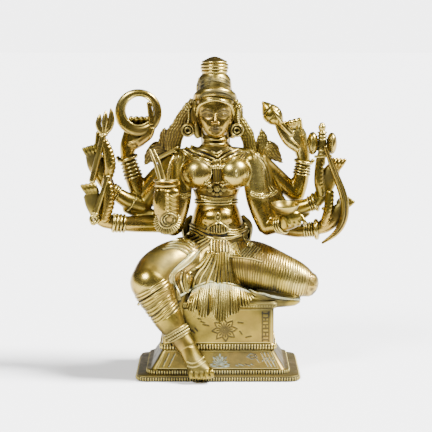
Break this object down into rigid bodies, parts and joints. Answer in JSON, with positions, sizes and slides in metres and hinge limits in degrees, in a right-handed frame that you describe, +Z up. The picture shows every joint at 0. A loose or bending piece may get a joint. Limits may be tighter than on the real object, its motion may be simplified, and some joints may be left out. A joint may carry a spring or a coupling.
{
  "type": "durga figure",
  "caption": "Cast brass figure of an eight-armed seated goddess on a moulded rectangular throne, for a shelf or shrine.",
  "frame": {"origin": "middle of the throne's foot plate, on its underside", "axes": "+Z up, the figure faces -Y, +X to the viewer's right"},
  "size_m": [0.1736, 0.0728, 0.1993],
  "materials": {
    "cast_brass": "polished cast brass, darker and greenish in the hollows, with pale dry residue in the deepest creases"
  },
  "bodies": {
    "root": {"durga_figure": "cast_brass"}
  },
  "joints": []
}
